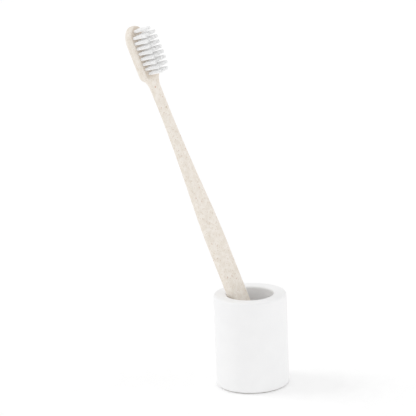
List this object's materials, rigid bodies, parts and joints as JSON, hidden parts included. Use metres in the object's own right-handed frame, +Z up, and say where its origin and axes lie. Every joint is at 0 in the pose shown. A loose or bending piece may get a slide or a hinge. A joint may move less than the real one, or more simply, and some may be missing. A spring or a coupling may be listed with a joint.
{
  "type": "toothbrush in holder",
  "caption": "Straight toothbrush with a small flat-trimmed bristle head, leaning in a thick-walled round ceramic holder.",
  "frame": {"origin": "centre of the foot pad's underside, on the surface that the holder stands on", "axes": "+Z up along the holder's axis; the brush leans towards -X in the XZ plane; its bristles point towards +X and -Y"},
  "size_m": [0.0769, 0.038, 0.1923],
  "materials": {
    "ceramic": "matte white, unglazed look",
    "foot_pad": "matte non-slip pad",
    "handle": "matte cream plastic filled with wheat straw, fine brown specks",
    "filament": "satin nylon filaments, slightly translucent",
    "anchor": "drawn flat wire"
  },
  "bodies": {
    "holder": {"holder": "ceramic", "holder_foot_pad": "foot_pad"},
    "brush": {"handle": "handle", "bristle_anchors": "anchor", "tuft_row1_left": "filament", "tuft_row1_right": "filament", "tuft_row2_left_inner": "filament", "tuft_row2_left_outer": "filament", "tuft_row2_right_inner": "filament", "tuft_row2_right_outer": "filament", "tuft_row3_left_inner": "filament", "tuft_row3_left_outer": "filament", "tuft_row3_right_inner": "filament", "tuft_row3_right_outer": "filament", "tuft_row4_left_inner": "filament", "tuft_row4_left_outer": "filament", "tuft_row4_right_inner": "filament", "tuft_row4_right_outer": "filament", "tuft_row5_left_inner": "filament", "tuft_row5_left_outer": "filament", "tuft_row5_right_inner": "filament", "tuft_row5_right_outer": "filament", "tuft_row6_left_inner": "filament", "tuft_row6_left_outer": "filament", "tuft_row6_right_inner": "filament", "tuft_row6_right_outer": "filament", "tuft_row7_left_inner": "filament", "tuft_row7_left_outer": "filament", "tuft_row7_right_inner": "filament", "tuft_row7_right_outer": "filament", "tuft_row8_left_inner": "filament", "tuft_row8_left_outer": "filament", "tuft_row8_right_inner": "filament", "tuft_row8_right_outer": "filament", "tuft_row9_left": "filament", "tuft_row9_middle": "filament", "tuft_row9_right": "filament"}
  },
  "joints": [
    {"name": "brush_lift", "type": "slide", "parent": "holder", "child": "brush", "axis": [0, 0, 1], "range_m": [0, 0.045]}
  ]
}
